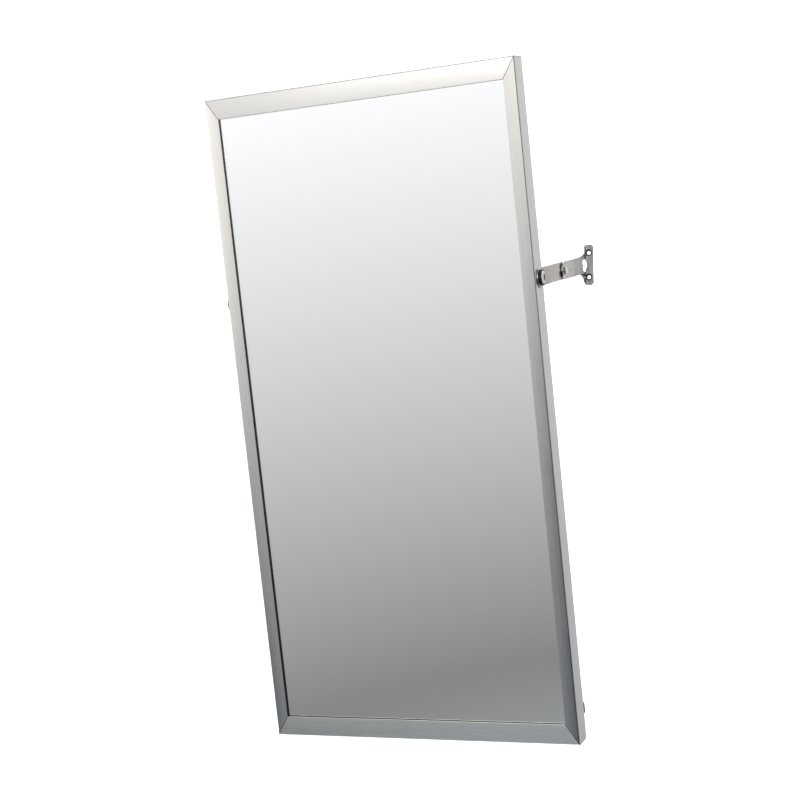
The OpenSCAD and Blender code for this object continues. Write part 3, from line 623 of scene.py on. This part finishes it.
class MIRROR_OT_glass(bpy.types.Operator):
    """Make the silvered glass: clear sheet with ground arrises, and the silver film on its back face"""
    bl_idname = "mirror.glass"
    bl_label = "Silvered glass"

    def execute(self, context):
        sizes, colours = context.scene.mirror_sizes, context.scene.mirror_colours
        low, high = leaning_box("mirror_glass")
        a, face, back = sizes.glass_arris, low[1], high[1]
        silver = face + sizes.silver_depth
        # This gap keeps silver and backing two surfaces
        apart = 0.00002
        # Rings of corners from face to back, inset by the arris or full: four of glass, four of backing
        inset = np.array([a, 0, 0, 0, 0, 0, 0, a])[:, None]
        depth = np.array([face, face + a, silver - a, silver,
                          silver + apart, silver + a, back - a, back])[:, None]
        x = np.stack([low[0] + inset, high[0] - inset, high[0] - inset, low[0] + inset], 1)[..., 0]
        z = np.stack([low[2] + inset, low[2] + inset, high[2] - inset, high[2] - inset], 1)[..., 0]
        box = np.stack([x, np.broadcast_to(depth, x.shape), z], -1).reshape(-1, 3)
        sheet = np.concatenate([quads(4, 4), [[0, 1, 2, 3], [12, 13, 14, 15]]])
        faces = np.concatenate([sheet, sheet + 16])
        # Ground edges, clear face, silver, and the backing all round
        which = np.array([1] * 12 + [0, 2] + [3] * 14)
        made = [new_material("Float glass, fire polished", float_glass, colours.glass),
                new_material("Glass edge, diamond ground", ground_edge),
                new_material("Silver film on glass", silver_film, colours.silver),
                new_material("Vinyl safety backing, calendered", moulded, colours.backing,
                             rough=0.6, pebble=0.0008, depth=0.00002)]
        put_mesh("silvered_glass_sheet", box @ tilt(LEAN), faces, made, "mirror",
                 ["mirror_glass"], smooth=False, which=which)
        return {"FINISHED"}


class MIRROR_OT_backing(bpy.types.Operator):
    """Dress what closes the back: hardboard, edge strips, galvanised pan, corner keys and their screws"""
    bl_idname = "mirror.backing"
    bl_label = "Back and inner parts"

    def execute(self, context):
        sizes, colours = context.scene.mirror_sizes, context.scene.mirror_colours
        pan = new_material("Hot dipped galvanised sheet", galvanised_sheet, colours.galvanised,
                           sizes.spangle, LEAN)
        eased_copy("back_pan", "galvanised_back_pan", [pan], sizes.sheet_ease)
        bolts = new_material("Stainless screws, cold headed", headed_stainless, colours.bolt_steel)
        # Radii left by the heading die on pan heads and on countersunk ones
        domed, flush = 0.00012, 0.0001
        eased_copy("pan_screws", "cross_head_pan_screws", [bolts], domed)
        eased_copy("corner_screws", "countersunk_corner_screws", [bolts], flush)
        zinc = new_material("Zinc plated steel", plated_steel, colours.zinc)
        rubber = new_material("Rubber strip, extruded", moulded, colours.rubber,
                              rough=0.62, pebble=0.0006, depth=0.00004)
        board = new_material("Hardboard", pressed_hardboard, colours.hardboard)
        for node, piece in NODES.items():
            if node.startswith(("corner_key", "pivot_nut")):
                finish = zinc
            elif node.startswith("edge_strip"):
                finish = rubber
            elif node == "backing_board":
                finish = board
            else:
                continue
            piece.data.materials.clear()
            piece.data.materials.append(finish)
        return {"FINISHED"}


class MIRROR_OT_pivots(bpy.types.Operator):
    """Turn the pivots: domed screws with a cross recess, and black nylon washers"""
    bl_idname = "mirror.pivots"
    bl_label = "Pivot screws and washers"

    def execute(self, context):
        sizes, colours = context.scene.mirror_sizes, context.scene.mirror_colours
        steel = new_material("Stainless pivot screws, cold headed", headed_stainless,
                             colours.bolt_steel, soiled=True)
        nylon = new_material("Nylon washers, injection moulded", moulded, colours.nylon,
                             rough=0.5, pebble=0.0005, depth=0.00003)
        low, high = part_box("pivot_screw_right")
        radius = (high[2] - low[2]) / 2
        # The head sits 0.1 mm out from the joint's place, and the shank's tip is chamfered
        seat, point = PIVOT[0] + 0.0001, 0.0006
        height = high[0] - seat
        shank, tip = SHANK["pivot"], low[0] - seat
        # Points round the screw and round the washer
        turns, washer_turns = 144, 96
        top = dome(radius, height, height / 4, 56)
        under = [[radius, 0], [shank, 0], [shank, tip + point], [shank - point, tip], [0, tip]]
        profile = np.concatenate([top, under])
        recess = cross(sizes.recess_depth, sizes.recess_wing, radius * 0.6)
        on_top = np.arange(len(profile))[:, None] < len(top)
        screw = turned(profile, turns, lambda y, z: recess(y, z) * on_top)
        plain = turned(profile, turns)
        # Painted shade and dark heading oil darken the recess from a sixth of its depth on, but the middle
        # stays clean and unshaded, where the driver's tip wipes it
        clean_unshaded_middle = np.clip(1.8 - np.hypot(screw[:, 1], screw[:, 2]) / 0.0015, 0, 1)
        soiled = np.clip((plain - screw)[:, 0] / sizes.recess_depth * 6 - 1, 0, 1) * (1 - clean_unshaded_middle)
        washer_low, washer_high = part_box("pivot_washer_right")
        outer, inner = (washer_high[2] - washer_low[2]) / 2, shank + RUNNING_FIT
        thick = washer_high[0] - washer_low[0]
        r = sizes.washer_round
        ring = rounded([[inner, 0], [outer, 0], [outer, thick], [inner, thick]], [r / 2, r, r, r / 2])
        washer = turned(ring, washer_turns)
        for side, sign in SIDES.items():
            centre = (0, PIVOT[1], PIVOT[2])
            put_mesh("pivot_screw_%s_cross_head" % side,
                     about_x(screw + (seat, 0, 0), LEAN, centre, sign), quads(len(profile), turns),
                     [steel], "mirror", ["pivot_screw_" + side], soiled=soiled)
            put_mesh("pivot_washer_%s_nylon" % side,
                     about_x(washer + (washer_low[0], 0, 0), LEAN, centre, sign),
                     quads(len(ring), washer_turns, True),
                     [nylon], "mirror", ["pivot_washer_" + side])
        return {"FINISHED"}


class MIRROR_OT_arms(bpy.types.Operator):
    """Dress the front links and stamped wall brackets, and turn the elbow rivets and washers"""
    bl_idname = "mirror.arms"
    bl_label = "Arms and elbows"

    def execute(self, context):
        sizes, colours = context.scene.mirror_sizes, context.scene.mirror_colours
        strip = new_material("Stainless strip, stamped and tumbled", tumbled_stainless,
                             colours.arm_steel, ARM_SLOPE)
        steel = new_material("Stainless rivets, headed in place", headed_stainless, colours.bolt_steel)
        nylon = new_material("Nylon elbow washers, punched", moulded, colours.nylon,
                             rough=0.5, pebble=0.0005, depth=0.00003)
        # Dark cut edges, hole walls and rim of the brackets: painted shade over the cut's own darker tone
        cut = new_material("Sheared edge of stainless strip", cut_edge_and_shade, colours.arm_steel)
        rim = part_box("wall_bracket_right")[1][0]

        def shaded_cut(middle, normal):
            """Faces that take painted shade: near the plate, all faces but the strip's two sides, facing X on
            the arm and Y on the plate.
            """
            x, y, z = np.abs(middle).T
            along_x, along_y, along_z = np.abs(normal).T
            in_from_rim = rim - x
            plate = y < 0.0025
            # The bend's middle line stands 9 mm in from the plate's rim, 4 mm off the wall
            bend = (np.hypot(in_from_rim - 0.009, y - 0.004) < 0.0042) & (along_z < 0.1)
            rolled = ((along_x > 0.4) & (along_z < 0.3)) | (plate & (along_y > 0.95)) | bend
            # The wall screw holes stand midway across the plate, 17.5 mm above and below its middle; their
            # walls take painted shade
            hole = plate & (np.hypot(in_from_rim - 0.0065, z - 0.0175) < 0.0052) & (along_y < 0.95)
            return (y < 0.05) & ~rolled | (in_from_rim < 0.0004) | hole

        low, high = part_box("elbow_rivet_right")
        # Both sides of the riveted stack
        bracket_high, link_inner = ELBOW[0] + 0.0029, ELBOW[0] - 0.0021
        shank, upset, cup = SHANK["elbow"], 0.0045, (high[2] - low[2]) / 2
        # Set flat by the riveting tool, with an upright rim that catches the light
        head = rounded([[0, high[0]], [cup, high[0]], [cup, bracket_high]], [0, 0.0002, 0], 8)[:-1]
        tail = dome(upset, link_inner - low[0], (link_inner - low[0]) / 3, 16)[::-1]
        tail[:, 1] = link_inner - tail[:, 1]
        neck = [[cup, bracket_high], [shank, bracket_high], [shank, link_inner]]
        profile = np.concatenate([head, neck, tail])
        turns = 72
        rivet = turned(profile, turns)
        washer_low, washer_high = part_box("elbow_washer_right")
        outer, inner = (washer_high[2] - washer_low[2]) / 2, shank + RUNNING_FIT
        thick = washer_high[0] - washer_low[0]
        ring = rounded([[inner, 0], [outer, 0], [outer, thick], [inner, thick]],
                       [0.0001, 0.0002, 0.0002, 0.0001])
        washer = turned(ring, turns)
        for side, sign in SIDES.items():
            eased_copy("front_link_" + side, "front_link_%s_strip" % side, [strip], sizes.strip_ease,
                       3)
            # The bracket's dark second material also goes on its eased edges, as painted shade
            eased_copy("wall_bracket_" + side, "wall_bracket_%s_stamping" % side, [strip, cut],
                       sizes.strip_ease, 3, shaded_cut)
            centre = (0, ELBOW[1], ELBOW[2])
            put_mesh("elbow_rivet_%s_headed" % side, about_x(rivet, 0, centre, sign),
                     quads(len(profile), turns),
                     [steel], "brackets", ["elbow_rivet_" + side])
            put_mesh("elbow_washer_%s_nylon" % side,
                     about_x(washer + (washer_low[0], 0, 0), 0, centre, sign), quads(len(ring), turns, True),
                     [nylon], "brackets", ["elbow_washer_" + side])
        return {"FINISHED"}


class MIRROR_OT_bumpers(bpy.types.Operator):
    """Mould the two black rubber bumpers on the back of the stiles: rounded pads with a dished face"""
    bl_idname = "mirror.bumpers"
    bl_label = "Rubber bumpers"

    def execute(self, context):
        sizes, colours = context.scene.mirror_sizes, context.scene.mirror_colours
        rubber = new_material("Rubber bumper, press moulded", moulded, colours.rubber,
                              rough=0.86, pebble=0.0007, depth=0.00006)
        for side in SIDES:
            low, high = leaning_box("bumper_" + side)
            width, tall, long = high - low
            # Foot, side with a little draft, rounded edge, and a face that is hollow in its middle
            line = [[0, 0], [0.0002, tall - 0.0008], [0.0016, tall], [0.0026, tall],
                    [0.0038, tall - sizes.dish]]
            line = rounded(line, [0, 0.0006, 0.0009, 0.0012, 0], 5)
            profile = np.concatenate([[[long, 0]], line, [[long, tall - sizes.dish]]])
            corner, steps = 0.0025, 7
            block = padded_block(width, long, corner, profile, steps)
            middle = ((low[0] + high[0]) / 2, low[1], (low[2] + high[2]) / 2)
            placed = block[:, [0, 2, 1]] + middle
            put_mesh("bumper_%s_rubber" % side, placed @ tilt(LEAN), quads(len(profile), 4 * steps),
                     [rubber], "mirror", ["bumper_" + side])
        return {"FINISHED"}


class MIRROR_OT_stage(bpy.types.Operator):
    """Set the stage: paper sweep, soft lights, graded surroundings and the camera"""
    bl_idname = "mirror.stage"
    bl_label = "Stage, light and camera"

    def execute(self, context):
        scene = context.scene
        sizes, colours = scene.mirror_sizes, scene.mirror_colours
        # Floor that curves up into a backdrop: a quarter circle joins the two flats
        half, start, radius, top = 9.0, 3.0, 1.2, 7.0
        turn = np.linspace(0, math.pi / 2, 24)
        y = np.concatenate([[-half], start + radius * np.sin(turn), [start + radius]])
        z = np.concatenate([[0.0], radius - radius * np.cos(turn), [top]]) - sizes.floor_drop
        left = np.stack([np.full_like(y, -half), y, z], -1)
        right = np.stack([np.full_like(y, half), y, z], -1)
        row = np.arange(len(y) - 1)
        faces = np.stack([row, row + len(y), row + len(y) + 1, row + 1], -1)
        mesh = bpy.data.meshes.new("paper_sweep")
        mesh.from_pydata(np.concatenate([left, right]).tolist(), [], faces.tolist())
        mesh.polygons.foreach_set("use_smooth", np.ones(len(faces), bool))
        mesh.materials.append(new_material("Studio paper, matte white", studio_paper, colours.backdrop))
        sweep = bpy.data.objects.new("paper_sweep", mesh)
        scene.collection.objects.link(sweep)
        # The mirror shows the graded surroundings, as in a light tent, not the edge of the paper
        sweep.visible_glossy = False
        sweep.visible_transmission = False
        self.lights(scene)
        self.surroundings(scene)
        self.camera(scene)
        scene.view_settings.view_transform = "Standard"
        return {"FINISHED"}

    def lights(self, scene):
        """Soft boxes for the matte pieces and the paper; metal and glass are lit by the surroundings."""
        for name, place, aim, size, power in (
                ("key_softbox", (-2.2, -3.4, 2.6), (0, 0, -0.4), 2.4, 150),
                ("fill_softbox", (2.8, -2.6, 1.2), (0, 0, -0.3), 2.2, 80),
                ("paper_light", (0, 0.9, 2.8), (0, 3.6, -0.4), 3.0, 190)):
            lamp = bpy.data.lights.new(name, "AREA")
            lamp.size = size
            lamp.energy = power
            box = bpy.data.objects.new(name, lamp)
            scene.collection.objects.link(box)
            box.location = place
            towards = np.array(aim, float) - np.array(place, float)
            box.rotation_euler = (math.acos(-towards[2] / np.linalg.norm(towards)), 0,
                                  math.atan2(towards[1], towards[0]) - math.pi / 2)
            box.visible_glossy = False
            box.visible_transmission = False

    def surroundings(self, scene):
        """Light tent: white in front, grey towards the floor and behind, with a black flag and a card."""
        world = bpy.data.worlds.new("Light tent")
        scene.world = world
        world.use_nodes = True
        tree = world.node_tree
        tree.nodes.clear()
        way = add_node(tree, "ShaderNodeTexCoord").outputs["Generated"]
        axes = add_node(tree, "ShaderNodeSeparateXYZ", {"Vector": way}).outputs

        bottom, top = -0.8, 1.0
        height = add_node(tree, "ShaderNodeMapRange",
                          {"Value": axes["Z"], "From Min": bottom, "From Max": top}).outputs[0]

        def graded(*stops):
            """Tones by height: each stop is (z of the direction, tone)."""
            places = [((z - bottom) / (top - bottom), tone) for z, tone in stops]
            return add_node(tree, "ShaderNodeValToRGB", {"Fac": height}, places).outputs["Color"]

        def laid_over(under, over, *edges):
            """One tone over another, where each value in edges has passed softly from its low to its high."""
            shares = [add_node(tree, "ShaderNodeMapRange",
                               {"Value": value, "From Min": low, "From Max": high},
                               interpolation_type="SMOOTHSTEP").outputs[0]
                      for value, low, high in edges]
            share = shares[0]
            for other in shares[1:]:
                share = add_node(tree, "ShaderNodeMath",
                                 {0: share, 1: other}, operation="MULTIPLY").outputs[0]
            return add_node(tree, "ShaderNodeMix",
                            {0: share, 6: under, 7: over}, data_type="RGBA").outputs[2]

        # The glass shows z from -0.5 to -0.12, which is an even fade; the satin rails smear in the rest
        dusk, day = (-0.5, 0.27), (-0.12, (1.2, 1.2, 1.22, 1))
        # Above that fade the tent is dim over on the left, and on the right a strip of light hangs there
        left = graded((-0.64, (0.13, 0.15, 0.17, 1)), dusk, day, (-0.04, 0.4), (0.5, 0.4), (0.8, 0.06))
        right = graded((-0.64, (0.5, 0.55, 0.58, 1)), dusk, day, (-0.04, (3.5, 3.3, 3.0, 1)), (0.15, 2.6),
                       (0.5, 1.0), (0.8, 0.06))
        glazed = laid_over(left, right, (axes["X"], -0.54, -0.34))
        # To both sides of that, only the satin stiles smear it in: cool and dark low, warm and bright high up
        beside = graded((-0.4, (0.01, 0.015, 0.04, 1)), (-0.3, (0.2, 0.3, 0.35, 1)),
                        (-0.2, (1.5, 1.4, 1.3, 1)), (-0.1, (2.3, 2.1, 1.9, 1)), (0.2, (1.2, 1.3, 1.4, 1)),
                        (0.5, (0.7, 0.8, 0.9, 1)), (0.8, 0.3))
        off = add_node(tree, "ShaderNodeMath", {0: axes["X"], 1: 0.39}, operation="ADD").outputs[0]
        away = add_node(tree, "ShaderNodeMath", {0: off}, operation="ABSOLUTE").outputs[0]
        front = laid_over(glazed, beside, (away, 0.12, 0.3))
        # A black flag on the right draws the folds and the countersinks; a grey card stands high on the left
        flagged = laid_over(front, (0.04, 0.04, 0.04, 1), (axes["X"], 0.45, 0.68))
        carded = laid_over(flagged, (0.53, 0.53, 0.53, 1), (axes["X"], -0.7, -0.85), (axes["Z"], 0.0, 0.15))
        # Behind the wall line: light grey, dark over on the left, with a light patch below it and one above
        rise = add_node(tree, "ShaderNodeMapRange",
                        {"Value": axes["Z"], "From Min": -0.3, "From Max": 0.6},
                        interpolation_type="SMOOTHSTEP").outputs[0]
        rear = add_node(tree, "ShaderNodeValToRGB", {"Fac": rise},
                        [(0.0, 0.55), (0.45, 0.8), (1.0, 1.0)]).outputs["Color"]
        far_left = graded((-0.42, 1.5), (-0.3, 0.22), (0.4, 0.22))
        low_left = laid_over(far_left, rear, (axes["X"], -0.35, 0.05))
        behind = laid_over(low_left, (1.75, 1.75, 1.75, 1), (axes["Z"], 0.4, 0.55))
        tent = laid_over(carded, behind, (axes["Y"], -0.15, 0.2))
        glow = add_node(tree, "ShaderNodeBackground", {"Color": tent, "Strength": 1.0}).outputs[0]
        plain = add_node(tree, "ShaderNodeBackground", {"Color": (1, 1, 1, 1), "Strength": 1.0}).outputs[0]
        seen = add_node(tree, "ShaderNodeLightPath").outputs["Is Camera Ray"]
        both = add_node(tree, "ShaderNodeMixShader", {0: seen, 1: glow, 2: plain}).outputs[0]
        add_node(tree, "ShaderNodeOutputWorld", {"Surface": both})

    def camera(self, scene):
        """The photograph's view: from low on the right, looking slightly up and to the left."""
        lens = bpy.data.cameras.new("photo_camera")
        lens.sensor_width = 36
        lens.lens = 71.79
        lens.clip_start = 0.05
        lens.clip_end = 60
        viewer = bpy.data.objects.new("photo_camera", lens)
        scene.collection.objects.link(viewer)
        viewer.location = (0.8925, -2.12585, -0.4819)
        viewer.rotation_euler = Euler((math.radians(97.478), 0, math.radians(23.952)))
        scene.camera = viewer


class MIRROR_PT_panel(bpy.types.Panel):
    """Lists the pieces of the mirror and its stage"""
    bl_idname = "MIRROR_PT_panel"
    bl_label = "Tilting wall mirror"
    bl_space_type = "VIEW_3D"
    bl_region_type = "UI"
    bl_category = "Mirror"

    def draw(self, context):
        for operator in OPERATORS:
            self.layout.operator(operator.bl_idname)
        for group in (context.scene.mirror_sizes, context.scene.mirror_colours):
            column = self.layout.column()
            for name in group.__annotations__:
                column.prop(group, name)


OPERATORS = (MIRROR_OT_frame, MIRROR_OT_glass, MIRROR_OT_backing, MIRROR_OT_pivots, MIRROR_OT_arms,
             MIRROR_OT_bumpers, MIRROR_OT_stage)
CLASSES = (MirrorSizes, MirrorColours, *OPERATORS, MIRROR_PT_panel)


def register():
    for one in CLASSES:
        bpy.utils.register_class(one)
    bpy.types.Scene.mirror_sizes = bpy.props.PointerProperty(type=MirrorSizes)
    bpy.types.Scene.mirror_colours = bpy.props.PointerProperty(type=MirrorColours)


def unregister():
    del bpy.types.Scene.mirror_colours
    del bpy.types.Scene.mirror_sizes
    for one in reversed(CLASSES):
        bpy.utils.unregister_class(one)


def main():
    register()
    bpy.ops.mirror.frame()
    bpy.ops.mirror.glass()
    bpy.ops.mirror.backing()
    bpy.ops.mirror.pivots()
    bpy.ops.mirror.arms()
    bpy.ops.mirror.bumpers()
    bpy.ops.mirror.stage()


if __name__ == "__main__":
    main()
